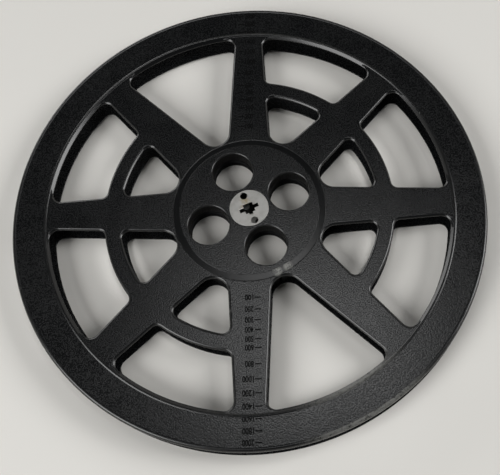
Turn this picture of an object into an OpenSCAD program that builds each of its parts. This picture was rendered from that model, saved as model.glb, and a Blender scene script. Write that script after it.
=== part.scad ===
// Projection reel for 16 mm cine film, 2000 ft size, lying on its back.
// Two equal windowed flanges are clamped on a winding drum by two equal hub caps,
// and a steel spindle plate is set flush in each cap.
// Frame: +Z is the spindle axis and points out of the front, Z = 0 is the surface it lies on.
// Spokes lie at multiples of 45 degrees, and the scale spoke of the front points to -Y.

/* [Reel] */
// Outside diameter of both flanges
flange_d = 381; // [365:1:400]
// Clear width for the film between the flanges
film_gap = 16.8; // [16.2:0.1:20]
// Outside diameter of the drum that the film winds on
drum_d = 123.8; // [112:0.1:138]
// Wall of the drum
drum_wall = 2.2; // [1.6:0.1:3]

/* [Flange] */
// Thickness of the spokes and of the ring between them
web_t = 2; // [1.6:0.1:3]
// Height of the rim and of the hub caps above the spokes
face_rise = 1; // [0.6:0.1:1.6]
// Width of the solid rim
rim_w = 29; // [22:0.5:36]
// Radius of the rounded outer edge of the rim
lip_r = 2.4; // [0.8:0.1:2.4]
// Width of a spoke at the hub
spoke_w_hub = 34.3; // [28:0.1:38]
// Width of a spoke at the rim
spoke_w_rim = 23.8; // [18:0.1:30]
// Mean diameter of the ring between the spokes
ring_d = 221; // [206:1:236]
// Width of that ring
ring_w = 13; // [9:0.5:18]
// Corner radius of the windows at the rim
rim_corner_r = 7; // [3:0.5:10]
// Corner radius of the windows at the ring
ring_corner_r = 5.5; // [3:0.5:8]
// Width of the bevel round each window, measured at the spoke face
bevel_w = 1.4; // [0.6:0.1:2]
// Depth of that bevel below the spoke face
bevel_h = 1.2; // [0.6:0.1:1.4]

/* [Hub caps] */
// Step from the surface of the drum in to the edge of a cap
cap_step = 0.3; // [0:0.1:1.5]
// Height of the edge of a cap above the flange
cap_edge_h = 0.35; // [0.2:0.05:0.5]
// Width of the sloping part of a cap
cap_slope_w = 5.6; // [2:0.1:8]
// Thickness of the face of a cap
cap_t = 2.2; // [1.6:0.1:2.8]
// Land between the recess of a spindle plate and the finger holes
plate_land = 2.65; // [2:0.05:5]
// Land between the finger holes and the outside of the spigot
spigot_land = 2.8; // [2.3:0.1:5]
// Bevel at the mouth of a finger hole
finger_bevel = 0.8; // [0.3:0.1:1]
// Wall of the finger tubes and of the spigot
tube_wall = 1.8; // [1.2:0.1:2.2]
// Distance from a cap to the wall of the windows next to it
window_margin = 1.8; // [1.5:0.1:5]

/* [Hub joints] */
// Diameter of the posts that join the two caps
post_d = 9; // [8:0.1:12]
// Diameter of the circle that the posts lie on
post_pcd = 80; // [76:0.5:90]
// Diameter of a peg
peg_d = 4.8; // [3:0.1:5.5]
// Length of a peg
peg_l = 4; // [2:0.1:5]
// Clearance between mouldings that plug together
moulding_fit = 0.1; // [0.05:0.05:0.3]
// Depth of the ring on each flange that centres the drum
locating_h = 2.5; // [1.5:0.1:4]
// Thickness of that ring
locating_wall = 1.8; // [1.2:0.1:2]
// Width of the flange inside that ring
bore_land = 3.4; // [2:0.1:5]
// Width of the slot that takes the film's end
film_slot_w = 2.4; // [1.6:0.1:4]
// Wall of the pocket behind that slot
pocket_wall = 1.6; // [1.2:0.1:2]

/* [Spindle plates] */
// Diameter of a spindle plate
plate_d = 31.4; // [30.8:0.1:32]
// Thickness of a spindle plate
plate_t = 1; // [0.7:0.1:1.6]
// Gap round a spindle plate
plate_fit = 0.15; // [0.05:0.05:0.3]
// Width of the ledge that a spindle plate lies on
ledge_w = 1.2; // [0.8:0.05:2]
// Side of the square spindle hole, and diameter of the round one
spindle_d = 8.1; // [8:0.05:8.3]
// Width of the keyways
keyway_w = 3.2; // [2.8:0.1:3.6]
// Reach of the long keyways from the axis
keyway_reach = 7.95; // [6:0.05:8.2]
// Reach of the short keyways, one in each plate, from the axis
short_keyway_reach = 5.8; // [5:0.05:6.5]
// Diameter of the drive pin holes
pin_hole_d = 5.9; // [4:0.1:6]
// Diameter of the circle that the drive pin holes lie on
pin_pcd = 23; // [22.5:0.1:23.5]

/* [Hidden] */
$fn = 128;
// A cut runs this far past the face that it opens, or into the cut next to it
over = 1;
// A corner's cut runs this far past the walls that it joins, so that they cross cleanly
corner_lap = 0.03;
plastic = "#26272a";
steel = "#c9c7c0";

// Counts and directions
spokes = 8;
pitch = 360 / spokes;
half_pitch = pitch / 2;
// The two threading windows have no ring across them
threading_windows = [2, 6];
threading_turn = half_pitch + threading_windows[0] * pitch;
finger_holes = 4;
finger_turn = half_pitch;
post_turn = finger_turn + 180 / finger_holes;
// Keyways, counted round from the first finger hole's direction. The short one lies on the line that
// the back is turned over about, so it is at the same place in both plates
keyway_turns = [0, 180];
short_keyway_turn = 270;

// Radii
flange_r = flange_d / 2;
drum_r = drum_d / 2;
drum_bore_r = drum_r - drum_wall;
rim_in_r = flange_r - rim_w;
ring_in_r = (ring_d - ring_w) / 2;
ring_out_r = (ring_d + ring_w) / 2;
cap_r = drum_r - cap_step;
locating_r = drum_bore_r - moulding_fit;
flange_bore_r = locating_r - locating_wall - bore_land;
spigot_r = flange_bore_r - moulding_fit;
recess_r = plate_d / 2 + plate_fit;
finger_in_r = recess_r + plate_land;
finger_out_r = spigot_r - spigot_land;
finger_r = (finger_out_r - finger_in_r) / 2;
finger_circle_r = (finger_out_r + finger_in_r) / 2;
tube_r = finger_r + tube_wall;
boss_bore_r = recess_r - ledge_w;
boss_wall = 1.45;
boss_r = recess_r + boss_wall;
window_end_r = cap_r + window_margin;
pocket_back_r = flange_bore_r;
pocket_w = film_slot_w + 2 * pocket_wall;

// Heights: each side is drawn with Z = 0 at the film side of its flange and +Z outwards
rim_t = web_t + face_rise;
lip_land = 0.2;
lip = min(lip_r, rim_t - lip_land);
front_z = rim_t + film_gap;
half_gap = film_gap / 2;
bevel_z = web_t - bevel_h;
recess_z = rim_t - plate_t;

// Edges of a window, seen with its centre line on +X: they meet at the point (meet_x, 0)
spoke_taper = (spoke_w_hub - spoke_w_rim) / 2 / (rim_in_r - drum_r);
spoke_half_0 = spoke_w_hub / 2 + spoke_taper * drum_r;
edge_turn = half_pitch + atan(spoke_taper);
meet_x = spoke_half_0 / (sin(half_pitch) + spoke_taper * cos(half_pitch));
hub_corner_r = (window_end_r - meet_x) / (1 / sin(edge_turn) - 1);
cut_lo = -over;
cut_hi = rim_t + over;
cut_spread = bevel_w * (cut_hi - bevel_z) / bevel_h;

// Centre of a corner of radius rho whose middle lies at distance r from the axis
function corner_centre(rho, r) =
    let (b = meet_x + rho / sin(edge_turn))
    let (s = sqrt(r * r - pow(b * sin(edge_turn), 2)) - b * cos(edge_turn))
    [b + s * cos(edge_turn), s * sin(edge_turn)];
function turn_of(p) = atan2(p[1], p[0]);
function edge_foot(centre, rho) = centre + rho * [-sin(edge_turn), cos(edge_turn)];

// Section of a window's cut: open from the inner to the wall, with the bevel beyond the wall
module wall_section(inner, wall) {
    polygon([
        [inner, cut_lo], [wall, cut_lo], [wall, bevel_z], [wall + cut_spread, cut_hi], [inner, cut_hi]
    ]);
}

// Wall section carried round a corner; it runs a hair past the walls that it joins
module corner_cut(centre, rho) {
    translate(centre) rotate_extrude() wall_section(0, rho + corner_lap);
}

// Wall section carried along the edge of a spoke, between two corners
module edge_cut(start, end, depth) {
    translate(start) rotate(edge_turn) rotate([90, 0, 90])
        linear_extrude(norm(end - start)) wall_section(-depth - over, 0);
}

// Wall section carried along the arc at a window's outer end, in past the corner's centre
module outer_arc_cut(r, centre) {
    turn = turn_of(centre);
    rotate(-turn) rotate_extrude(angle = 2 * turn) wall_section(centre[0] - over, r);
}

// Wall section carried along the arc at a window's inner end, out past the corner's centre
module inner_arc_cut(r, rho, turn) {
    rotate(-turn) rotate_extrude(angle = 2 * turn)
        translate([r, 0]) mirror([1, 0]) wall_section(-rho - over, 0);
}

module both_sides() {
    children();
    mirror([0, 1, 0]) children();
}

// Window between two arcs, with a corner at each end of both
module arc_window(r_in, rho_in, r_out, rho_out) {
    outer = corner_centre(rho_out, r_out - rho_out);
    inner = corner_centre(rho_in, r_in + rho_in);
    translate([0, 0, cut_lo]) linear_extrude(cut_hi - cut_lo) difference() {
        polygon([
            inner, outer, [outer[0], -outer[1]], [inner[0], -inner[1]]
        ]);
        circle(r_in + rho_in);
    }
    outer_arc_cut(r_out, outer);
    inner_arc_cut(r_in, rho_in, turn_of(inner));
    both_sides() {
        corner_cut(outer, rho_out);
        corner_cut(inner, rho_in);
        edge_cut(edge_foot(inner, rho_in), edge_foot(outer, rho_out), max(rho_in, rho_out));
    }
}

// Window that runs to a round end at the hub
module hub_window(r_out, rho_out) {
    outer = corner_centre(rho_out, r_out - rho_out);
    inner = [meet_x + hub_corner_r / sin(edge_turn), 0];
    translate([0, 0, cut_lo]) linear_extrude(cut_hi - cut_lo)
        polygon([inner, outer, [outer[0], -outer[1]]]);
    outer_arc_cut(r_out, outer);
    corner_cut(inner, hub_corner_r);
    both_sides() {
        corner_cut(outer, rho_out);
        edge_cut(edge_foot(inner, hub_corner_r), edge_foot(outer, rho_out), hub_corner_r);
    }
}

module windows() {
    for (i = [0 : spokes - 1]) rotate(half_pitch + i * pitch) {
        if (len(search(i, threading_windows)) > 0) {
            hub_window(rim_in_r, rim_corner_r);
        } else {
            hub_window(ring_in_r, ring_corner_r);
            arc_window(ring_out_r, ring_corner_r, rim_in_r, rim_corner_r);
        }
    }
}

// Section of a flange: web, raised rim with its rounded edge, and the ring that centres the drum
module flange_section() {
    bevel_base_r = rim_in_r + bevel_w;
    bevel_top_r = bevel_base_r + bevel_w * face_rise / bevel_h;
    difference() {
        polygon([
            [flange_bore_r, 0], [locating_r - locating_wall, 0],
            [locating_r - locating_wall, -locating_h], [locating_r, -locating_h],
            [locating_r, 0], [flange_r, 0], [flange_r, rim_t], [bevel_top_r, rim_t],
            [bevel_base_r, web_t], [flange_bore_r, web_t]
        ]);
        translate([flange_r - lip, rim_t - lip]) difference() {
            square(lip + over);
            circle(lip);
        }
    }
}

// Notches in the centring ring, one for each film pocket of the drum
module pocket_notches() {
    width = pocket_w + 2 * moulding_fit;
    for (i = threading_windows) rotate(half_pitch + i * pitch)
        translate([flange_bore_r, -width / 2, -locating_h - over])
            cube([drum_bore_r - flange_bore_r + over, width, locating_h + over]);
}

module flange() {
    color(plastic) difference() {
        rotate_extrude() flange_section();
        windows();
        pocket_notches();
    }
}

// Places of the finger holes, and of the posts from a first one on in steps
module at_finger_holes() {
    for (i = [0 : finger_holes - 1])
        rotate(finger_turn + i * 360 / finger_holes) translate([finger_circle_r, 0]) children();
}

module at_posts(first, step) {
    for (i = [first : step : finger_holes - 1])
        rotate(post_turn + i * 360 / finger_holes) translate([post_pcd / 2, 0]) children();
}

// Section of a cap's face, with the sloping edge and the spigot that centres the flange
module cap_section() {
    face_z = rim_t - cap_t;
    polygon([
        [0, face_z], [spigot_r - tube_wall, face_z], [spigot_r - tube_wall, 0], [spigot_r, 0],
        [spigot_r, web_t], [cap_r, web_t], [cap_r, web_t + cap_edge_h],
        [cap_r - cap_slope_w, rim_t], [0, rim_t]
    ]);
}

// A cap has pegs on two posts and sockets in the other two, so two equal caps plug together
module hub_cap() {
    color(plastic) {
        difference() {
            union() {
                rotate_extrude() cap_section();
                translate([0, 0, -half_gap]) {
                    cylinder(r = boss_r, h = half_gap + recess_z);
                    at_finger_holes() cylinder(r = tube_r, h = half_gap + recess_z);
                    at_posts(0, 1) cylinder(d = post_d, h = half_gap + recess_z);
                }
                translate([0, 0, -half_gap - peg_l])
                    at_posts(0, 2) cylinder(d = peg_d, h = peg_l + over);
            }
            translate([0, 0, -half_gap - over]) {
                cylinder(r = boss_bore_r, h = half_gap + rim_t + 2 * over);
                at_finger_holes() cylinder(r = finger_r, h = half_gap + rim_t + 2 * over);
                at_posts(1, 2) cylinder(d = peg_d + 2 * moulding_fit, h = peg_l + 2 * over);
            }
            translate([0, 0, recess_z]) cylinder(r = recess_r, h = plate_t + over);
            translate([0, 0, rim_t - finger_bevel]) at_finger_holes()
                cylinder(r1 = finger_r, r2 = finger_r + finger_bevel + over, h = finger_bevel + over);
        }
    }
}

// Drum that the film winds on, with a pocket behind each film slot that keys it to the flanges
module winding_drum() {
    color(plastic) translate([0, 0, rim_t]) difference() {
        union() {
            difference() {
                cylinder(r = drum_r, h = film_gap);
                translate([0, 0, -over]) cylinder(r = drum_bore_r, h = film_gap + 2 * over);
            }
            for (i = threading_windows) rotate(half_pitch + i * pitch)
                translate([pocket_back_r, -pocket_w / 2, 0])
                    cube([drum_bore_r - pocket_back_r + drum_wall / 2, pocket_w, film_gap]);
        }
        for (i = threading_windows) rotate(half_pitch + i * pitch)
            translate([pocket_back_r + pocket_wall, -film_slot_w / 2, -over])
                cube([drum_r, film_slot_w, film_gap + 2 * over]);
    }
}

// Keyway from the axis out, in the direction of a window's centre line
module keyway(turn, reach) {
    rotate(finger_turn + turn) translate([0, -keyway_w / 2]) square([reach, keyway_w]);
}

// Spindle plate with two drive pin holes; its children are the spindle hole
module spindle_plate() {
    color(steel) translate([0, 0, recess_z]) difference() {
        cylinder(d = plate_d, h = plate_t);
        for (side = [0, 180]) rotate(threading_turn + side)
            translate([pin_pcd / 2, 0, -over]) cylinder(d = pin_hole_d, h = plate_t + 2 * over);
        translate([0, 0, -over]) linear_extrude(plate_t + 2 * over) children();
    }
}

module square_spindle_hole() {
    rotate(finger_turn) square(spindle_d, center = true);
    for (turn = keyway_turns) keyway(turn, keyway_reach);
    keyway(short_keyway_turn, short_keyway_reach);
}

module round_spindle_hole() {
    circle(d = spindle_d);
    keyway(short_keyway_turn, short_keyway_reach);
}

// The back is the front turned over about the line through the threading windows
module on_front() {
    translate([0, 0, front_z]) children();
}

module on_back() {
    translate([0, 0, rim_t]) rotate(threading_turn) rotate([180, 0, 0]) rotate(-threading_turn)
        children();
}

module front_flange() { on_front() flange(); }
module back_flange() { on_back() flange(); }
module front_hub_cap() { on_front() hub_cap(); }
module back_hub_cap() { on_back() hub_cap(); }
module front_spindle_plate() { on_front() spindle_plate() square_spindle_hole(); }
module back_spindle_plate() { on_back() spindle_plate() round_spindle_hole(); }

front_flange();
back_flange();
winding_drum();
front_hub_cap();
back_hub_cap();
front_spindle_plate();
back_spindle_plate();
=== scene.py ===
# Projection reel for 16 mm cine film, moulded in black ABS, empty and lying on its back.
# The flanges are modelled anew, the hub caps and spindle plates are finished from copies of the packed
# ones, and the drum is shown as packed.
import math

import bmesh
import bpy
from mathutils import Matrix, Quaternion, Vector


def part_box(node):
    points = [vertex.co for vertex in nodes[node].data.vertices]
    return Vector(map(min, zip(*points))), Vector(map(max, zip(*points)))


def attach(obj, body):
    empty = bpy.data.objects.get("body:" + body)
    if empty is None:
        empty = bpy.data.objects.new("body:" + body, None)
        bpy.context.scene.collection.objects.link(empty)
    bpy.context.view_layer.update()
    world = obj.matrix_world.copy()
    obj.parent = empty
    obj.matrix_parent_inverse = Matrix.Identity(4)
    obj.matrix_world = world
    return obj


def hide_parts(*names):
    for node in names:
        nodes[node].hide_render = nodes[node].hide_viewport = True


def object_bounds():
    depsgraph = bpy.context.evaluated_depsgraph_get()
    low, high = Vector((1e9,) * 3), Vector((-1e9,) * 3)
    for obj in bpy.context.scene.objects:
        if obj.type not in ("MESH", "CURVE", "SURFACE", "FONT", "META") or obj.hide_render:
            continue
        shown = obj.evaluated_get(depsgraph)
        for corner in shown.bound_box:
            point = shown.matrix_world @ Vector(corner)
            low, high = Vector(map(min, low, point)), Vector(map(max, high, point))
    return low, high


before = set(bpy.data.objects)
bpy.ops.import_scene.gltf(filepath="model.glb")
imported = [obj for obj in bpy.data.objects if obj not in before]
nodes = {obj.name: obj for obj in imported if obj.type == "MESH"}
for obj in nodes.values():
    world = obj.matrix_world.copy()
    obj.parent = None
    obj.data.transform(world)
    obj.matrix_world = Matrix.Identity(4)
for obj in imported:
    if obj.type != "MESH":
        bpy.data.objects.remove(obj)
cad_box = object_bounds()
scene = bpy.context.scene
scene.view_settings.view_transform = "Standard"

MM = 0.001
BODY = "root"
PLASTIC_SLOT = "moulded_plastic"
STEEL_SLOT = "spindle_steel"

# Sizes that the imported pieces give
REST_Z, TOP_Z = (corner.z for corner in cad_box)
FLANGE_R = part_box("front_flange")[1].x
DRUM_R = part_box("winding_drum")[1].y
RIM_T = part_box("winding_drum")[0].z - REST_Z
FILM_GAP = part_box("winding_drum")[1].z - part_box("winding_drum")[0].z
FRONT_Z = REST_Z + RIM_T + FILM_GAP

# Flange
SPOKES = 8
HALF_PITCH = math.pi / SPOKES
THREADING_WINDOWS = (2, 6)
WEB_T = 2 * MM
FACE_RISE = RIM_T - WEB_T
RIM_W = 29 * MM
RIM_IN_R = FLANGE_R - RIM_W
RING_OUT_R = 117 * MM
RING_IN_R = 104 * MM
WINDOW_END_R = 63.4 * MM
BORE_R = 54.4 * MM
SPOKE_W_HUB = 34.3 * MM
SPOKE_W_RIM = 23.8 * MM
RIM_CORNER_R = 7 * MM
RING_CORNER_R = 5.5 * MM
BEVEL_W = 1.4 * MM
BEVEL_H = 1.2 * MM
RIM_FOOT_R = RIM_IN_R + BEVEL_W
LIP_R = 2.4 * MM

# Ring on the flange's film side that centres the drum, with its root set into the flange
LOCATING_IN_R = 57.8 * MM
LOCATING_OUT_R = 59.6 * MM
LOCATING_H = 2.5 * MM
LOCATING_ROOT = 0.2 * MM
NOTCH_W = 5.8 * MM

# Edges of a window, seen with its middle on +X: they meet at (MEET_X, 0)
SPOKE_TAPER = (SPOKE_W_HUB - SPOKE_W_RIM) / 2 / (RIM_IN_R - DRUM_R)
EDGE_TURN = HALF_PITCH + math.atan(SPOKE_TAPER)
MEET_X = (SPOKE_W_HUB / 2 + SPOKE_TAPER * DRUM_R) / (
    math.sin(HALF_PITCH) + SPOKE_TAPER * math.cos(HALF_PITCH))
HUB_CORNER_R = (WINDOW_END_R - MEET_X) / (1 / math.sin(EDGE_TURN) - 1)

# Roundings of edges. That of a window's upper edge stops a little way before the rim
FACE_EDGE_R = 0.7 * MM
RUN_OUT = 0.8 * MM
EDGE_R = 0.25 * MM
FINGER_EDGE_R = 0.4 * MM
SMALL_EDGE_R = 0.2 * MM

# The rim's panel and the hub cap's sloping band lie a hair lower inside a border
PANEL_EDGE_W = 0.9 * MM
PANEL_DEPTH = 0.3 * MM
BAND_EDGE_W = 0.45 * MM
BAND_DEPTH = 0.15 * MM

# Steps of round stretches
BORE_STEPS = 8
HUB_CORNER_STEPS = 10
RING_ARC_STEPS = 10
RING_CORNER_STEPS = 8
OUTER_CORNER_STEPS = 14
OUTER_ARC_STEPS = 14
SPOKE_STEPS = 6
RIM_STEPS = 20
LOCATING_STEPS = 48
LIP_STEPS = 8
FACE_EDGE_STEPS = 4
EDGE_STEPS = 2
NUMERAL_STEPS = 4

# What counts as the same place, as one flat face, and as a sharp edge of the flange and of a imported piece
MERGE = 0.002 * MM
ON_RADIUS = 0.02 * MM
ONE_FACE_TURN = math.radians(0.5)
SHARP_TURN = math.radians(28)
PACKED_SHARP_TURN = math.radians(20)

# Upward share of a face's normal: the least of a flat and of a sloping face, and the most of an upright one
FLAT_SHARE = 0.9999
SLOPE_SHARE = 0.98
UPRIGHT_SHARE = 0.1

# Attributes of the mouldings that the plastic reads
EDGE_WEAR = "edge_wear"
GRAINED = "grained"

# How much the large faces count in the smooth shading, at most 100
LARGE_FACE_WEIGHT = 100

# Places painted paler, as turn in degrees, radius, spread and strength: two painted highlight glints on the
# hub cap's sloping band, and on the lip a rubbed patch that also paints highlight. The inner share of a
# spread has the full strength
RUBBED_AND_GLINTS = ((292, 58.5 * MM, 5 * MM, 1),
          (301, 58.5 * MM, 5 * MM, 1),
          (298, 189.5 * MM, 64 * MM, 0.6))
FULL_SHARE = 0.3

# Dried oil on the plate, as turn in degrees, radius and spread
OILED = (128, 6 * MM, 6 * MM)

# Footage scale: a number lies where the film ends when so many feet are wound on
FOOT = 304.8 * MM
FILM_T = 0.153 * MM
FIRST_TURN_R = 63.7 * MM
SCALE_FEET = (100, 200, 300, 400, 500, 600, 800, 1000, 1200, 1400, 1600, 1800, 2000)
SCALE_TURNS = {"lower": 270, "upper": 90}
NUMERAL_H = 4.8 * MM
NUMERAL_PITCH = 2.2 * MM
NUMERAL_X = -2.9 * MM
NUMERAL_BOLD = 0.03
TICK_X = (-8.8 * MM, -3.8 * MM)
TICK_T = 0.9 * MM
MARK_H = 0.05 * MM

# Camera: roll in degrees, lens and sensor in millimetres, shift as a share of the picture's width
CAMERA_PLACE = Vector((55.3, -247.1, 609.2)) * MM
CAMERA_AIM = Vector((48.1, -27.4, 22.8)) * MM
CAMERA_ROLL = -3.93
CAMERA_LENS = 57.08
CAMERA_SENSOR = 36
CAMERA_SHIFT = -0.12

# Studio, in metres: the floor goes over into the wall between two distances from the reel. The wall ends
# and the ceiling begins where the direction's upward share passes two levels
BACKDROP = "#dcdad5"
FLOOR_REACH = 4
FLOOR_DROP = 0.2 * MM
FLOOR_FADE = (0.4, 1.6)
WALL_END_RISE = 0.35
CEILING_RISE = 0.5
CEILING_LIGHT = 0.04

# Lamps, as place, width and height in metres and power in watts
LAMPS = {"key": ((0.01, 0.31, 1.85), 0.65, 0.5, 3.4),
         "fill_left": ((-1.25, -0.87, 1.33), 1.2, 1.2, 30),
         "fill_right": ((1.69, 0.24, 1.26), 1.0, 1.0, 26),
         "back": ((-1.23, 1.58, 0.47), 1.4, 0.75, 11)}

# Settings that many nodes share
ABS_IOR = 1.5
SMOOTH = {"interpolation_type": "SMOOTHSTEP"}


def linear(hex_colour):
    """sRGB hex value as linear RGBA."""
    parts = [int(hex_colour[i:i + 2], 16) / 255 for i in (1, 3, 5)]
    return [p / 12.92 if p <= 0.04045 else ((p + 0.055) / 1.055) ** 2.4 for p in parts] + [1.0]


def add(tree, kind, inputs=(), **settings):
    """Adds a node with its settings. An input gets a value, or a link from an output, or from the first
    output in use of a node."""
    node = tree.nodes.new(kind)
    for name, value in settings.items():
        setattr(node, name, value)
    for socket, value in dict(inputs).items():
        if isinstance(value, bpy.types.Node):
            value = next(output for output in value.outputs if output.enabled)
        if isinstance(value, bpy.types.NodeSocket):
            tree.links.new(value, node.inputs[socket])
        else:
            node.inputs[socket].default_value = value
    return node


def new_material(name):
    """An empty material, with its node tree and the place on the piece that its patterns read."""
    material = bpy.data.materials.new(name)
    material.use_nodes = True
    tree = material.node_tree
    tree.nodes.clear()
    return material, tree, add(tree, "ShaderNodeTexCoord").outputs["Object"]


def near(tree, place, turn, radius, spread):
    """1 round a point on the reel's face, falling to 0 at a distance from it."""
    point = polar(radius, math.radians(turn)) + Vector((0, 0, TOP_Z))
    away = add(tree, "ShaderNodeVectorMath", {0: place, 1: point}, operation="DISTANCE")
    return add(tree, "ShaderNodeMapRange",
               {"Value": away, "From Min": spread, "From Max": spread * FULL_SHARE}, **SMOOTH)


def moulded_abs():
    """Black ABS from a mould with spark-eroded flats and polished bevels. The flats have a fine grain that
    spreads the light, the bevels and lips are smooth and catch it as thin lines, and places that are
    knocked or rubbed in use are scuffed to a dull grey. The same grey paints two highlight glints on the
    hub cap's sloping band, and painted highlight as well as scuffing on the lip's rubbed patch."""
    material, tree, place = new_material("black_abs_moulded")
    flat = add(tree, "ShaderNodeAttribute", attribute_name=GRAINED).outputs["Fac"]
    edge = add(tree, "ShaderNodeAttribute", attribute_name=EDGE_WEAR).outputs["Fac"]

    # Spark grain is 0.2 mm across, drawn at 0.95 mm so that it shows. Its crests are duller, and painted
    # paler, leaving the pits as painted shade
    grain_w = 0.95 * MM
    grain_h = 0.085 * MM
    grain = add(tree, "ShaderNodeTexNoise", {"Vector": place, "Scale": 1 / grain_w, "Detail": 0})
    bump = add(tree, "ShaderNodeBump", {"Height": grain, "Strength": flat, "Distance": grain_h})
    high = add(tree, "ShaderNodeMapRange", {"Value": grain, "From Min": 0.4, "From Max": 0.62}, **SMOOTH)
    crests_and_pit_shade = add(tree, "ShaderNodeMath", {0: high, 1: flat}, operation="MULTIPLY")

    # Handling leaves smudges a few centimetres across, and hair scratches 0.2 mm wide along Y, drawn at
    # 0.5 mm so that they show. The turn follows the stretch and gives each layer a pattern of its own
    smudge_w = 34 * MM
    scratch_w = 0.5 * MM
    scratch_l = 25 * MM
    narrow = (1, scratch_w / scratch_l, 1)
    smudge = add(tree, "ShaderNodeTexNoise",
                 {"Vector": place, "Scale": 1 / smudge_w, "Detail": 3, "Distortion": 0.6})
    scratches = 0
    for turn in (25, 110):
        along = add(tree, "ShaderNodeMapping",
                    {"Vector": place, "Rotation": (0, 0, math.radians(turn)), "Scale": narrow})
        streak = add(tree, "ShaderNodeTexNoise", {"Vector": along, "Scale": 1 / scratch_w, "Detail": 0})
        hair = add(tree, "ShaderNodeMapRange",
                   {"Value": streak, "From Min": 0.74, "From Max": 0.8}, **SMOOTH)
        scratches = add(tree, "ShaderNodeMath", {0: hair, 1: scratches}, operation="MAXIMUM")
    handled = add(tree, "ShaderNodeMapRange",
                  {"Value": smudge, "From Min": 0.45, "From Max": 0.65}, **SMOOTH)
    scratches = add(tree, "ShaderNodeMath", {0: scratches, 1: handled}, operation="MULTIPLY")

    # Scuffs are a few millimetres long, on edges and on smooth places that are rubbed or knocked; the listed
    # spots paint highlight
    scuff_w = 3 * MM
    scuff = add(tree, "ShaderNodeTexNoise",
                {"Vector": place, "Scale": 1 / scuff_w, "Detail": 3, "Distortion": 1.5})
    nicks = add(tree, "ShaderNodeMapRange",
                {"Value": scuff, "From Min": 0.66, "From Max": 0.78, "To Max": 0.5}, **SMOOTH)
    worn_edge = add(tree, "ShaderNodeMath", {0: edge, 1: nicks}, operation="MULTIPLY")
    # Listed spots: painted highlight glints on the hub cap's band, and scuffing with painted highlight on
    # the lip
    rubbed_and_glints = 0
    for turn, radius, spread, strength in RUBBED_AND_GLINTS:
        spot = add(tree, "ShaderNodeMath", {0: near(tree, place, turn, radius, spread), 1: strength},
                   operation="MULTIPLY")
        rubbed_and_glints = add(tree, "ShaderNodeMath", {0: spot, 1: rubbed_and_glints}, operation="MAXIMUM")
    smooth = add(tree, "ShaderNodeMath", {0: 1, 1: flat}, operation="SUBTRACT")
    rubbed_and_glints = add(tree, "ShaderNodeMath", {0: smooth, 1: rubbed_and_glints}, operation="MULTIPLY")
    patches = add(tree, "ShaderNodeMapRange", {"Value": scuff, "From Min": 0.26, "From Max": 0.56}, **SMOOTH)
    rubbed_and_glints = add(tree, "ShaderNodeMath", {0: rubbed_and_glints, 1: patches}, operation="MULTIPLY")
    # The wear grey below is painted highlight where the listed spots lie, and real wear elsewhere
    wear = add(tree, "ShaderNodeMath", {0: worn_edge, 1: rubbed_and_glints}, operation="MAXIMUM")

    smudged = add(tree, "ShaderNodeMapRange", {"Value": smudge, "From Min": 0.35, "From Max": 0.7}, **SMOOTH)
    tint = add(tree, "ShaderNodeMix",
               {"Factor": smudged, "A": linear("#060708"), "B": linear("#0a0b0c")}, data_type="RGBA")
    # The crests' paler grey is painted light on the grain, and the darker pits are painted shade
    for cover, colour in ((crests_and_pit_shade, "#101112"), (scratches, "#1c1d1d"), (wear, "#7c7c78")):
        tint = add(tree, "ShaderNodeMix",
                   {"Factor": cover, "A": tint, "B": linear(colour)}, data_type="RGBA")
    sheen = add(tree, "ShaderNodeMapRange",
                {"Value": smudge, "From Min": 0.3, "From Max": 0.7, "To Min": 0.19, "To Max": 0.23},
                **SMOOTH)
    rough = add(tree, "ShaderNodeMix", {"Factor": flat, "A": 0.25, "B": sheen})
    for cover, dulling in ((crests_and_pit_shade, 0.11), (wear, 0.2)):
        more = add(tree, "ShaderNodeMath", {0: cover, 1: dulling}, operation="MULTIPLY")
        rough = add(tree, "ShaderNodeMath", {0: rough, 1: more}, operation="ADD")
    shader = add(tree, "ShaderNodeBsdfPrincipled",
                 {"IOR": ABS_IOR, "Base Color": tint, "Roughness": rough, "Normal": bump})
    add(tree, "ShaderNodeOutputMaterial", {"Surface": shader})
    return material


def cored_abs():
    """Black ABS of the drum and of the finger holes' walls, dull from the long draw off the mould's cores,
    with streaks along the draw. It stays dark although the floor shines up into the holes."""
    material, tree, place = new_material("black_abs_cored")
    # Draw marks are 0.4 mm wide and run along the axis
    draw_w = 0.4 * MM
    draw_l = 10 * MM
    along = add(tree, "ShaderNodeMapping", {"Vector": place, "Scale": (1, 1, draw_w / draw_l)})
    streak = add(tree, "ShaderNodeTexNoise", {"Vector": along, "Scale": 1 / draw_w, "Detail": 2})
    tint = add(tree, "ShaderNodeMix",
               {"Factor": streak, "A": linear("#040405"), "B": linear("#090a0a")}, data_type="RGBA")
    rough = add(tree, "ShaderNodeMapRange",
                {"Value": streak, "From Min": 0.2, "From Max": 0.8, "To Min": 0.5, "To Max": 0.65}, **SMOOTH)
    shader = add(tree, "ShaderNodeBsdfPrincipled",
                 {"IOR": ABS_IOR, "Specular IOR Level": 0.1, "Base Color": tint, "Roughness": rough})
    add(tree, "ShaderNodeOutputMaterial", {"Surface": shader})
    return material


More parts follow.
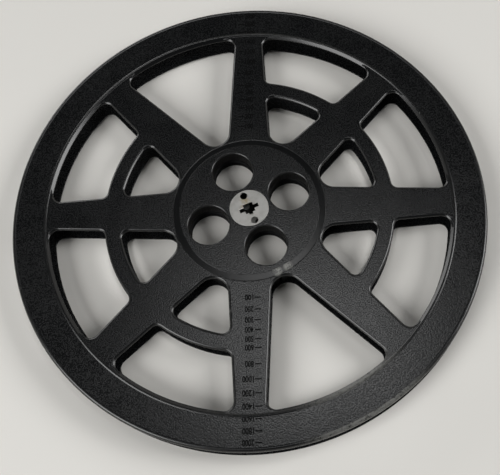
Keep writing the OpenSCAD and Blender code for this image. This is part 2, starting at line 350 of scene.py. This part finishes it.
def plated_steel():
    """Pressed steel, nickel plated and tumbled: a pale satin with fine scratches, a little yellow where oil
    from the spindle has dried beside the hole."""
    material, tree, place = new_material("nickel_plated_steel")
    # Tumbling scratches are 0.1 mm wide, drawn at 0.3 mm so that they show, in three layers along Y. The
    # turn follows the stretch and gives each layer a pattern of its own
    mark_w = 0.3 * MM
    mark_l = 6 * MM
    mark_h = 0.05 * MM
    narrow = (1, mark_w / mark_l, 1)
    marks = 0
    for turn in (15, 75, 135):
        along = add(tree, "ShaderNodeMapping",
                    {"Vector": place, "Rotation": (0, 0, math.radians(turn)), "Scale": narrow})
        streak = add(tree, "ShaderNodeTexNoise", {"Vector": along, "Scale": 1 / mark_w, "Detail": 1})
        marks = add(tree, "ShaderNodeMath", {0: streak, 1: marks}, operation="MAXIMUM")
    bump = add(tree, "ShaderNodeBump", {"Height": marks, "Strength": 0.25, "Distance": mark_h})
    rough = add(tree, "ShaderNodeMapRange",
                {"Value": marks, "From Min": 0.45, "From Max": 0.8, "To Min": 0.4, "To Max": 0.52}, **SMOOTH)

    # Haze lies in patches 5 mm across, and so does the oil
    haze_w = 5 * MM
    haze = add(tree, "ShaderNodeTexNoise", {"Vector": place, "Scale": 1 / haze_w, "Detail": 3})
    hazy = add(tree, "ShaderNodeMapRange", {"Value": haze, "From Min": 0.35, "From Max": 0.7}, **SMOOTH)
    tint = add(tree, "ShaderNodeMix",
               {"Factor": hazy, "A": linear("#bdbcb9"), "B": linear("#b1b0ac")}, data_type="RGBA")
    dried = add(tree, "ShaderNodeMapRange", {"Value": haze, "From Min": 0.4, "From Max": 0.6}, **SMOOTH)
    oil = add(tree, "ShaderNodeMath", {0: near(tree, place, *OILED), 1: dried}, operation="MULTIPLY")
    oil = add(tree, "ShaderNodeMath", {0: oil, 1: 0.7}, operation="MULTIPLY")
    tint = add(tree, "ShaderNodeMix", {"Factor": oil, "A": tint, "B": linear("#a8986f")}, data_type="RGBA")
    shader = add(tree, "ShaderNodeBsdfPrincipled",
                 {"Metallic": 1, "Base Color": tint, "Roughness": rough, "Normal": bump})
    add(tree, "ShaderNodeOutputMaterial", {"Surface": shader})
    return material


def greased_steel():
    """Inner face of the plates, nearly black as painted shade, so that the holes look dark."""
    material, tree, place = new_material("greased_steel")
    # Blotches are 2 mm across
    blotch_w = 2 * MM
    blotches = add(tree, "ShaderNodeTexNoise", {"Vector": place, "Scale": 1 / blotch_w, "Detail": 2})
    tint = add(tree, "ShaderNodeMix",
               {"Factor": blotches, "A": linear("#0d0b09"), "B": linear("#1b1713")}, data_type="RGBA")
    rough = add(tree, "ShaderNodeMapRange",
                {"Value": blotches, "From Min": 0.3, "From Max": 0.7, "To Min": 0.7, "To Max": 0.5}, **SMOOTH)
    shader = add(tree, "ShaderNodeBsdfPrincipled", {"Metallic": 0.3, "Base Color": tint, "Roughness": rough})
    add(tree, "ShaderNodeOutputMaterial", {"Surface": shader})
    return material


def stamped_black():
    """Matt black of the stamped numbers: duller and deeper than the moulding, and uneven."""
    material, tree, place = new_material("black_stamped_scale")
    # Patches of thinner stamping are 1.5 mm across
    patch_w = 1.5 * MM
    stamping = add(tree, "ShaderNodeTexNoise", {"Vector": place, "Scale": 1 / patch_w, "Detail": 2})
    thin = add(tree, "ShaderNodeMapRange", {"Value": stamping, "From Min": 0.5, "From Max": 0.75}, **SMOOTH)
    tint = add(tree, "ShaderNodeMix",
               {"Factor": thin, "A": linear("#050505"), "B": linear("#0b0c0c")}, data_type="RGBA")
    rough = add(tree, "ShaderNodeMapRange",
                {"Value": stamping, "From Min": 0.4, "From Max": 0.8, "To Min": 0.65, "To Max": 0.5},
                **SMOOTH)
    shader = add(tree, "ShaderNodeBsdfPrincipled",
                 {"Specular IOR Level": 0.05, "Base Color": tint, "Roughness": rough})
    add(tree, "ShaderNodeOutputMaterial", {"Surface": shader})
    return material


def new_piece(name, bm, material, slot, *replaced):
    """Makes a piece of the reel from a bmesh, which is freed."""
    mesh = bpy.data.meshes.new(name)
    bm.to_mesh(mesh)
    bm.free()
    mesh.materials.append(material)
    piece = bpy.data.objects.new(name, mesh)
    scene.collection.objects.link(piece)
    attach(piece, BODY)
    if replaced:
        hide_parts(*replaced)
    return piece


def shade_round(piece):
    """Smooth shading that keeps the large flat faces flat and marked edges crisp."""
    for face in piece.data.polygons:
        face.use_smooth = True
    normals = piece.modifiers.new("flat_faces", "WEIGHTED_NORMAL")
    normals.weight = LARGE_FACE_WEIGHT
    normals.keep_sharp = True


def polar(radius, turn):
    """Point at a radius from the axis, on z = 0."""
    return Vector((radius * math.cos(turn), radius * math.sin(turn), 0))


def arc(radius, start, end, steps, centre=Vector()):
    """Points along an arc, with both its ends."""
    return [centre + polar(radius, start + (end - start) * i / steps) for i in range(steps + 1)]


def corner_centre(corner_r, radius):
    """Centre of a window's corner that lies at that radius from the axis."""
    foot = MEET_X + corner_r / math.sin(EDGE_TURN)
    along = math.sqrt(radius ** 2 - (foot * math.sin(EDGE_TURN)) ** 2) - foot * math.cos(EDGE_TURN)
    return Vector((foot, 0, 0)) + polar(along, EDGE_TURN)


def window_half(r_in, r_out, corner_r):
    """Half a window's outline: the side, from the middle of the inner end, and the arc at the outer end."""
    edge_normal = math.pi / 2 + EDGE_TURN
    if r_in == WINDOW_END_R:
        centre = Vector((MEET_X + HUB_CORNER_R / math.sin(EDGE_TURN), 0, 0))
        side = arc(HUB_CORNER_R, math.pi, edge_normal, HUB_CORNER_STEPS, centre)
    else:
        centre = corner_centre(RING_CORNER_R, r_in + RING_CORNER_R)
        turn = math.atan2(centre.y, centre.x)
        side = arc(r_in, 0, turn, RING_ARC_STEPS)[:-1]
        side += arc(RING_CORNER_R, turn + math.pi, edge_normal, RING_CORNER_STEPS, centre)
    centre = corner_centre(corner_r, r_out - corner_r)
    turn = math.atan2(centre.y, centre.x)
    side += arc(corner_r, edge_normal, turn, OUTER_CORNER_STEPS, centre)
    return side, arc(r_out, turn, 0, OUTER_ARC_STEPS)


def sector_plan(threading):
    """Plan of one sector with its window on +X. Each half is a face for the web and one for the rim."""
    bm = bmesh.new()
    web = arc(BORE_R, HALF_PITCH, 0, BORE_STEPS)
    if threading:
        spans = [(WINDOW_END_R, RIM_IN_R, RIM_CORNER_R)]
    else:
        spans = [(WINDOW_END_R, RING_IN_R, RING_CORNER_R), (RING_OUT_R, RIM_IN_R, RIM_CORNER_R)]
    for r_in, r_out, corner_r in spans:
        side, end = window_half(r_in, r_out, corner_r)
        web += side if r_out == RIM_IN_R else side + end[1:]
    across_spoke = arc(RIM_FOOT_R, math.atan2(end[0].y, end[0].x), HALF_PITCH, SPOKE_STEPS)[1:]
    rim = end[::-1] + across_spoke + arc(FLANGE_R, HALF_PITCH, 0, RIM_STEPS)
    for outline in (web + across_spoke, rim):
        bm.faces.new([bm.verts.new(p) for p in outline])
    bmesh.ops.mirror(bm, geom=bm.verts[:] + bm.edges[:] + bm.faces[:], axis="Y", merge_dist=MERGE)
    return bm


def sector_place(sector):
    """Turn that takes a sector from +X to its place."""
    return Matrix.Rotation((2 * sector + 1) * HALF_PITCH, 4, "Z")


def join(whole, part, place):
    """Moves a bmesh to its place in another one. The part is freed."""
    part.transform(place)
    mesh = bpy.data.meshes.new("part")
    part.to_mesh(mesh)
    part.free()
    whole.from_mesh(mesh)
    bpy.data.meshes.remove(mesh)


def widen(bm, verts, old_r, new_r):
    """Moves those of the vertices that lie at one radius to another."""
    circle = [v for v in verts if abs(v.co.xy.length - old_r) < ON_RADIUS]
    bmesh.ops.scale(bm, verts=circle, vec=(new_r / old_r, new_r / old_r, 1))


def raise_faces(bm, faces, height):
    """Extrudes faces upwards. Gives the raised faces and vertices."""
    made = bmesh.ops.extrude_face_region(bm, geom=faces)["geom"]
    verts = [g for g in made if isinstance(g, bmesh.types.BMVert)]
    bmesh.ops.translate(bm, verts=verts, vec=(0, 0, height))
    return [g for g in made if isinstance(g, bmesh.types.BMFace)], verts


def round_edges(bm, edges, radius, steps=EDGE_STEPS):
    """Rounds edges, and marks the middle of each rounding for the wear that edges get."""
    made = bmesh.ops.bevel(bm, geom=edges, offset=radius, offset_type="OFFSET", affect="EDGES",
                           segments=steps, profile=0.5, material=-1, clamp_overlap=False)
    wear = bm.verts.layers.float[EDGE_WEAR]
    rounding = set(made["faces"])
    for vert in made["verts"]:
        if rounding.issuperset(vert.link_faces):
            vert[wear] = 1


def mark_grained(bm):
    """Marks the flat faces, which have the mould's grain."""
    layer = bm.faces.layers.float.new(GRAINED)
    for face in bm.faces:
        face[layer] = abs(face.normal.z) > FLAT_SHARE


def sharp_edges(bm, least_turn):
    """Outward edges at which the surface turns by more than an angle."""
    return [e for e in bm.edges if e.calc_face_angle_signed(0) > least_turn]


def sink(bm, faces, border_w, depth):
    """Sinks faces a hair, inside a sloping border with a crisp inner edge."""
    border = bmesh.ops.inset_region(bm, faces=faces, thickness=border_w, depth=-depth, use_boundary=True,
                                    use_even_offset=True)["faces"]
    sunk_edges = {e for f in faces for e in f.edges}
    for edge in sunk_edges.intersection(e for f in border for e in f.edges):
        edge.smooth = False


def locating_ring_half():
    """Half of the ring that centres the drum, from one film pocket, on +X, to the other."""
    bm = bmesh.new()
    gap = NOTCH_W / 2 / LOCATING_OUT_R
    section = [(LOCATING_IN_R, LOCATING_ROOT), (LOCATING_IN_R, -LOCATING_H),
               (LOCATING_OUT_R, -LOCATING_H), (LOCATING_OUT_R, LOCATING_ROOT)]
    face = bm.faces.new([bm.verts.new((r, 0, z)) for r, z in section])
    bmesh.ops.rotate(bm, verts=face.verts, matrix=Matrix.Rotation(gap, 3, "Z"))
    bmesh.ops.spin(bm, geom=[face], axis=(0, 0, 1), angle=math.pi - 2 * gap, steps=LOCATING_STEPS)
    bmesh.ops.recalc_face_normals(bm, faces=bm.faces)
    return bm


def on_wall(vert):
    """Whether a flange's vertex lies on its outer wall."""
    return FLANGE_R - vert.co.xy.length < MERGE


def on_rim(vert):
    """Whether a flange's vertex lies on the rim's face."""
    return vert.co.z > RIM_T - MERGE


def on_web(vert):
    """Whether a flange's vertex lies on the web's face or higher, clear of the rim's inner slope."""
    return vert.co.z > WEB_T - MERGE and vert.co.xy.length < RIM_FOOT_R - RUN_OUT


def flange():
    """The moulding with its film side on z = 0: the plan is extruded to the foot of the bevels, inset to
    their tops, and the rim is raised from there. The rim's panel is sunk a hair below its edges."""
    bm = bmesh.new()
    bm.verts.layers.float.new(EDGE_WEAR)
    for sector in range(SPOKES):
        join(bm, sector_plan(sector in THREADING_WINDOWS), sector_place(sector))
    bmesh.ops.remove_doubles(bm, verts=bm.verts, dist=MERGE)
    bmesh.ops.recalc_face_normals(bm, faces=bm.faces)
    if next(iter(bm.faces)).normal.z < 0:
        bmesh.ops.reverse_faces(bm, faces=bm.faces)
    face, _ = raise_faces(bm, bm.faces[:], WEB_T - BEVEL_H)
    bmesh.ops.inset_region(bm, faces=face, thickness=BEVEL_W, depth=BEVEL_H, use_boundary=True,
                           use_even_offset=True)
    face_verts = {v for f in face for v in f.verts}
    widen(bm, face_verts, BORE_R + BEVEL_W, BORE_R)
    widen(bm, face_verts, FLANGE_R - BEVEL_W, FLANGE_R)

    rim = [f for f in face if f.calc_center_median().xy.length > RIM_IN_R]
    _, rim_verts = raise_faces(bm, rim, FACE_RISE)
    bmesh.ops.delete(bm, geom=rim, context="FACES")
    widen(bm, rim_verts, RIM_FOOT_R, RIM_FOOT_R + FACE_RISE * BEVEL_W / BEVEL_H)
    bmesh.ops.recalc_face_normals(bm, faces=bm.faces)

    # The outer wall becomes one band below the lip
    wall = [e for e in bm.edges if all(on_wall(v) and MERGE < v.co.z < RIM_T - MERGE for v in e.verts)]
    across_wall = [e for e in wall if abs(e.verts[0].co.z - e.verts[1].co.z) < MERGE]
    bmesh.ops.dissolve_edges(bm, edges=across_wall, use_verts=True)
    lip = [e for e in bm.edges if all(on_rim(v) and on_wall(v) for v in e.verts)]
    round_edges(bm, lip, LIP_R, LIP_STEPS)

    # A window's bevel goes over into the rim's inner slope, and the rounding of its edge runs out before
    upper = [e for e in sharp_edges(bm, SHARP_TURN) if all(on_rim(v) or on_web(v) for v in e.verts)]
    round_edges(bm, upper, FACE_EDGE_R, FACE_EDGE_STEPS)
    bevel_foot = WEB_T - BEVEL_H + MERGE
    lower = [e for e in sharp_edges(bm, SHARP_TURN) if max(v.co.z for v in e.verts) < bevel_foot]
    round_edges(bm, lower, EDGE_R)
    panel = [f for f in bm.faces if all(on_rim(v) for v in f.verts)]
    sink(bm, panel, PANEL_EDGE_W, PANEL_DEPTH)
    mark_grained(bm)
    for sector in THREADING_WINDOWS:
        join(bm, locating_ring_half(), sector_place(sector))
    return bm


def merged_copy(node):
    """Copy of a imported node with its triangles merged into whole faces."""
    bm = bmesh.new()
    bm.verts.layers.float.new(EDGE_WEAR)
    bm.from_mesh(node.data)
    bmesh.ops.remove_doubles(bm, verts=bm.verts, dist=MERGE)
    bmesh.ops.dissolve_limit(bm, verts=bm.verts, edges=bm.edges, angle_limit=ONE_FACE_TURN)
    return bm


def outer_edges(bm, outside, r_in, r_out):
    """Sharp edges that lie outside and between two radii."""
    return [e for e in sharp_edges(bm, PACKED_SHARP_TURN)
            if all(outside(v.co.z) and r_in < v.co.xy.length < r_out for v in e.verts)]


def spindle_plate(side, outside):
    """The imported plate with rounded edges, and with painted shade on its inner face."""
    bm = merged_copy(nodes[side + "_spindle_plate"])
    round_edges(bm, outer_edges(bm, outside, 0, BORE_R), SMALL_EDGE_R)
    for face in bm.faces:
        face.material_index = 0 if outside(face.calc_center_median().z) else 1
    plate = new_piece(side + "_spindle_plate_pressing", bm, steel, STEEL_SLOT, side + "_spindle_plate")
    plate.data.materials.append(inner_shade_steel)
    shade_round(plate)


def hub_cap(side, outside):
    """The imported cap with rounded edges, its grained face, its sunk sloping band and the dull walls of its
    finger holes."""
    bm = merged_copy(nodes[side + "_hub_cap"])
    round_edges(bm, outer_edges(bm, outside, 0, BORE_R), FINGER_EDGE_R)
    round_edges(bm, outer_edges(bm, outside, BORE_R, FLANGE_R), SMALL_EDGE_R)
    slopes = [f for f in bm.faces if SLOPE_SHARE < abs(f.normal.z) < FLAT_SHARE]
    middles = [f.calc_center_median() for f in slopes]
    band = [f for f, middle in zip(slopes, middles) if outside(middle.z) and middle.xy.length > BORE_R]
    sink(bm, band, BAND_EDGE_W, BAND_DEPTH)
    mark_grained(bm)
    for face in bm.faces:
        inside = face.calc_center_median().xy.length < BORE_R
        face.material_index = 1 if inside and abs(face.normal.z) < UPRIGHT_SHARE else 0
    cap = new_piece(side + "_hub_cap_moulding", bm, plastic, PLASTIC_SLOT, side + "_hub_cap")
    cap.data.materials.append(cored)
    shade_round(cap)


def numeral_mesh(text):
    """Mesh of a number, its left edge at x = 0 and its middle at y = 0."""
    curve = bpy.data.curves.new("numeral", "FONT")
    curve.body = text
    curve.resolution_u = NUMERAL_STEPS
    curve.offset = NUMERAL_BOLD
    carrier = bpy.data.objects.new("numeral", curve)
    mesh = bpy.data.meshes.new_from_object(carrier)
    bpy.data.objects.remove(carrier)
    bpy.data.curves.remove(curve)
    low = Vector([min(v.co[i] for v in mesh.vertices) for i in range(3)])
    high = Vector([max(v.co[i] for v in mesh.vertices) for i in range(3)])
    stretch_x = NUMERAL_PITCH * len(text) / (high.x - low.x)
    stretch_y = NUMERAL_H / (high.y - low.y)
    to_start = Matrix.Translation((-low.x, -(low.y + high.y) / 2, 0))
    mesh.transform(Matrix.Diagonal((stretch_x, stretch_y, 1, 1)) @ to_start)
    return mesh


def footage_scale(name, place, turn):
    """Numbers and ticks out along a spoke and on to the rim, laid out along +Y and then turned."""
    bm = bmesh.new()
    for feet in SCALE_FEET:
        radius = math.sqrt(FIRST_TURN_R ** 2 + feet * FOOT * FILM_T / math.pi)
        face_z = (RIM_T - PANEL_DEPTH if radius > RIM_FOOT_R else WEB_T) + MARK_H
        mesh = numeral_mesh(str(feet))
        mesh.transform(Matrix.Translation((NUMERAL_X, radius, face_z)))
        bm.from_mesh(mesh)
        bpy.data.meshes.remove(mesh)
        # A tick is a unit square that its matrix stretches
        tick = Matrix.Translation((sum(TICK_X) / 2, radius, face_z))
        tick = tick @ Matrix.Diagonal((TICK_X[1] - TICK_X[0], TICK_T, 1, 1))
        bmesh.ops.create_grid(bm, x_segments=1, y_segments=1, size=0.5, matrix=tick)
    to_spoke = place @ Matrix.Rotation(math.radians(turn - 90), 4, "Z")
    bmesh.ops.transform(bm, verts=bm.verts, matrix=to_spoke)
    new_piece(name, bm, scale_black, PLASTIC_SLOT)


def make_camera():
    """Camera at the photograph's viewing angle."""
    camera = bpy.data.cameras.new("camera")
    camera.sensor_width = CAMERA_SENSOR
    camera.lens = CAMERA_LENS
    camera.shift_x = CAMERA_SHIFT
    holder = bpy.data.objects.new("camera", camera)
    scene.collection.objects.link(holder)
    aim = (CAMERA_AIM - CAMERA_PLACE).to_track_quat("-Z", "Y")
    holder.rotation_mode = "QUATERNION"
    holder.rotation_quaternion = aim @ Quaternion((0, 0, 1), math.radians(CAMERA_ROLL))
    holder.location = CAMERA_PLACE
    scene.camera = holder


def soft_box(name, place, width, height, power):
    """Studio lamp that looks at the reel."""
    lamp = bpy.data.lights.new(name, "AREA")
    lamp.shape = "RECTANGLE"
    lamp.size = width
    lamp.size_y = height
    lamp.energy = power
    holder = bpy.data.objects.new(name, lamp)
    scene.collection.objects.link(holder)
    holder.location = place
    holder.rotation_euler = (-Vector(place)).to_track_quat("-Z", "Y").to_euler()


def shows_backdrop(tree):
    """1 for rays that show the backdrop, 0 for the light that falls on the reel."""
    rays = add(tree, "ShaderNodeLightPath").outputs
    shown = add(tree, "ShaderNodeMath", {0: rays["Is Camera Ray"], 1: rays["Is Glossy Ray"]},
                operation="MAXIMUM")
    return add(tree, "ShaderNodeMath", {0: shown, 1: rays["Is Transmission Ray"]}, operation="MAXIMUM")


def matt_floor():
    """Smooth matt paint on the floor, pale and even, which goes over into the wall's colour far away."""
    material, tree, place = new_material("pale_floor")
    paint = add(tree, "ShaderNodeBsdfPrincipled", {"Base Color": linear(BACKDROP), "Roughness": 0.8})
    glow = add(tree, "ShaderNodeEmission", {"Color": linear(BACKDROP)})
    away = add(tree, "ShaderNodeVectorMath", {0: place}, operation="LENGTH")
    far = add(tree, "ShaderNodeMapRange",
              {"Value": away, "From Min": FLOOR_FADE[0], "From Max": FLOOR_FADE[1]}, **SMOOTH)
    far = add(tree, "ShaderNodeMath", {0: far, 1: shows_backdrop(tree)}, operation="MULTIPLY")
    shader = add(tree, "ShaderNodeMixShader", {0: far, 1: paint, 2: glow})
    add(tree, "ShaderNodeOutputMaterial", {"Surface": shader})
    return material


def make_floor():
    """Floor a hair below the reel, so that their faces don't lie in one plane."""
    bm = bmesh.new()
    bmesh.ops.create_grid(bm, x_segments=1, y_segments=1, size=FLOOR_REACH)
    bmesh.ops.translate(bm, verts=bm.verts, vec=(0, 0, REST_Z - FLOOR_DROP))
    mesh = bpy.data.meshes.new("floor")
    bm.to_mesh(mesh)
    bm.free()
    mesh.materials.append(matt_floor())
    floor = bpy.data.objects.new("floor", mesh)
    scene.collection.objects.link(floor)


def make_room():
    """Pale wall all round, below a dark ceiling."""
    world = bpy.data.worlds.new("studio")
    world.use_nodes = True
    tree = world.node_tree
    tree.nodes.clear()
    direction = add(tree, "ShaderNodeTexCoord").outputs["Generated"]
    rise = add(tree, "ShaderNodeSeparateXYZ", {0: direction}).outputs["Z"]
    wall = add(tree, "ShaderNodeMapRange",
               {"Value": rise, "From Min": CEILING_RISE, "From Max": WALL_END_RISE}, **SMOOTH)
    wall = add(tree, "ShaderNodeMath", {0: wall, 1: shows_backdrop(tree)}, operation="MULTIPLY")
    strength = add(tree, "ShaderNodeMath", {0: wall, 1: CEILING_LIGHT}, operation="MAXIMUM")
    background = add(tree, "ShaderNodeBackground", {"Color": linear(BACKDROP), "Strength": strength})
    add(tree, "ShaderNodeOutputWorld", {"Surface": background})
    scene.world = world


make_camera()
make_floor()
make_room()
for name, (place, width, height, power) in LAMPS.items():
    soft_box(name, place, width, height, power)

plastic = moulded_abs()
cored = cored_abs()
steel = plated_steel()
inner_shade_steel = greased_steel()
scale_black = stamped_black()
for name, node in nodes.items():
    finish = plastic
    if "plate" in name:
        finish = steel
    elif "drum" in name:
        finish = cored
    node.data.materials.clear()
    node.data.materials.append(finish)

# The back is the front turned over about the line through the threading windows
flip_line = sector_place(THREADING_WINDOWS[0])
flip = flip_line @ Matrix.Rotation(math.pi, 4, "X") @ flip_line.inverted()
on_front = Matrix.Translation((0, 0, FRONT_Z))
on_back = Matrix.Translation((0, 0, REST_Z + RIM_T)) @ flip

# Outside is what lies beyond the outer face of the web
for side, place, outside in (("front", on_front, lambda z: z > TOP_Z - FACE_RISE + MERGE),
                             ("back", on_back, lambda z: z < REST_Z + FACE_RISE - MERGE)):
    moulding = flange()
    moulding.transform(place)
    shade_round(new_piece(side + "_flange_moulding", moulding, plastic, PLASTIC_SLOT, side + "_flange"))
    hub_cap(side, outside)
    spindle_plate(side, outside)
    for where, turn in SCALE_TURNS.items():
        footage_scale(f"{side}_scale_{where}", place, turn)
